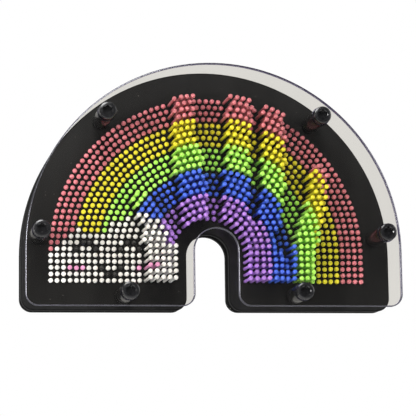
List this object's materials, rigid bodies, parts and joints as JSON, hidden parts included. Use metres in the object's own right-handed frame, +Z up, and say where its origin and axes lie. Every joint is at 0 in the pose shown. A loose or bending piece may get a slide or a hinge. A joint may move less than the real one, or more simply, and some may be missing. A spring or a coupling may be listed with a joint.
{
  "type": "pin art impression toy",
  "caption": "Arch-shaped block of sliding coloured pins in two black pin plates, behind a clear cover on spacer tubes; objects pushed in from behind leave a relief.",
  "frame": {"origin": "on the ground under the middle of the width and of the depth, with the toy standing on the bottoms of its two legs", "axes": "+X along the width, +Z up, and the clear cover faces -Y"},
  "size_m": [0.208, 0.0716, 0.1345],
  "materials": {
    "clear_plastic": "clear, polished, with a faint violet edge",
    "black_plastic": "satin moulded",
    "spacer_plastic": "satin turned",
    "black_steel": "black oxide, satin",
    "pin_red": "moulded, soft gloss",
    "pin_yellow": "moulded, soft gloss",
    "pin_green": "moulded, soft gloss",
    "pin_blue": "moulded, soft gloss",
    "pin_purple": "moulded, soft gloss",
    "pin_white": "moulded, soft gloss",
    "pin_pink": "moulded, soft gloss",
    "pin_black": "moulded, soft gloss"
  },
  "bodies": {
    "stack": {"clear_cover": "clear_plastic", "front_pin_plate": "black_plastic", "groove_frame": "black_plastic", "rear_pin_plate": "black_plastic", "cap_screws": "black_steel", "spacer_tubes": "spacer_plastic", "rear_nuts": "black_steel"},
    "thumb_pins": {"thumb_white": "pin_white", "thumb_pink": "pin_pink", "thumb_green": "pin_green", "thumb_blue": "pin_blue", "thumb_purple": "pin_purple"},
    "index_pins": {"index_red": "pin_red", "index_yellow": "pin_yellow", "index_green": "pin_green", "index_blue": "pin_blue", "index_purple": "pin_purple"},
    "middle_pins": {"middle_red": "pin_red", "middle_yellow": "pin_yellow", "middle_green": "pin_green", "middle_blue": "pin_blue", "middle_purple": "pin_purple"},
    "third_pins": {"third_red": "pin_red", "third_yellow": "pin_yellow", "third_green": "pin_green", "third_blue": "pin_blue"},
    "little_pins": {"little_red": "pin_red", "little_yellow": "pin_yellow", "little_green": "pin_green"},
    "palm_pins": {"palm_blue": "pin_blue", "palm_purple": "pin_purple"},
    "cloud_pins": {"cloud_white": "pin_white", "cloud_black": "pin_black", "cloud_pink": "pin_pink"},
    "left_pins": {"left_red": "pin_red", "left_yellow": "pin_yellow", "left_green": "pin_green", "left_blue": "pin_blue", "left_purple": "pin_purple"},
    "gap_pins": {"gap_red": "pin_red", "gap_yellow": "pin_yellow", "gap_green": "pin_green", "gap_blue": "pin_blue", "gap_purple": "pin_purple"},
    "right_pins": {"right_red": "pin_red", "right_yellow": "pin_yellow", "right_green": "pin_green", "right_blue": "pin_blue"}
  },
  "joints": [
    {"name": "thumb_slide", "type": "slide", "parent": "stack", "child": "thumb_pins", "axis": [0, -1, 0], "range_m": [-0.0117, 0.0027]},
    {"name": "index_slide", "type": "slide", "parent": "stack", "child": "index_pins", "axis": [0, -1, 0], "range_m": [-0.0138, 0.002]},
    {"name": "middle_slide", "type": "slide", "parent": "stack", "child": "middle_pins", "axis": [0, -1, 0], "range_m": [-0.0141, 0.0019]},
    {"name": "third_slide", "type": "slide", "parent": "stack", "child": "third_pins", "axis": [0, -1, 0], "range_m": [-0.0138, 0.0031]},
    {"name": "little_slide", "type": "slide", "parent": "stack", "child": "little_pins", "axis": [0, -1, 0], "range_m": [-0.0165, 0.0005]},
    {"name": "palm_slide", "type": "slide", "parent": "stack", "child": "palm_pins", "axis": [0, -1, 0], "range_m": [-0.0122, 0.0036]},
    {"name": "cloud_slide", "type": "slide", "parent": "stack", "child": "cloud_pins", "axis": [0, -1, 0], "range_m": [0, 0.0227]},
    {"name": "left_slide", "type": "slide", "parent": "stack", "child": "left_pins", "axis": [0, -1, 0], "range_m": [0, 0.0227]},
    {"name": "gap_slide", "type": "slide", "parent": "stack", "child": "gap_pins", "axis": [0, -1, 0], "range_m": [0, 0.0227]},
    {"name": "right_slide", "type": "slide", "parent": "stack", "child": "right_pins", "axis": [0, -1, 0], "range_m": [0, 0.0227]}
  ]
}
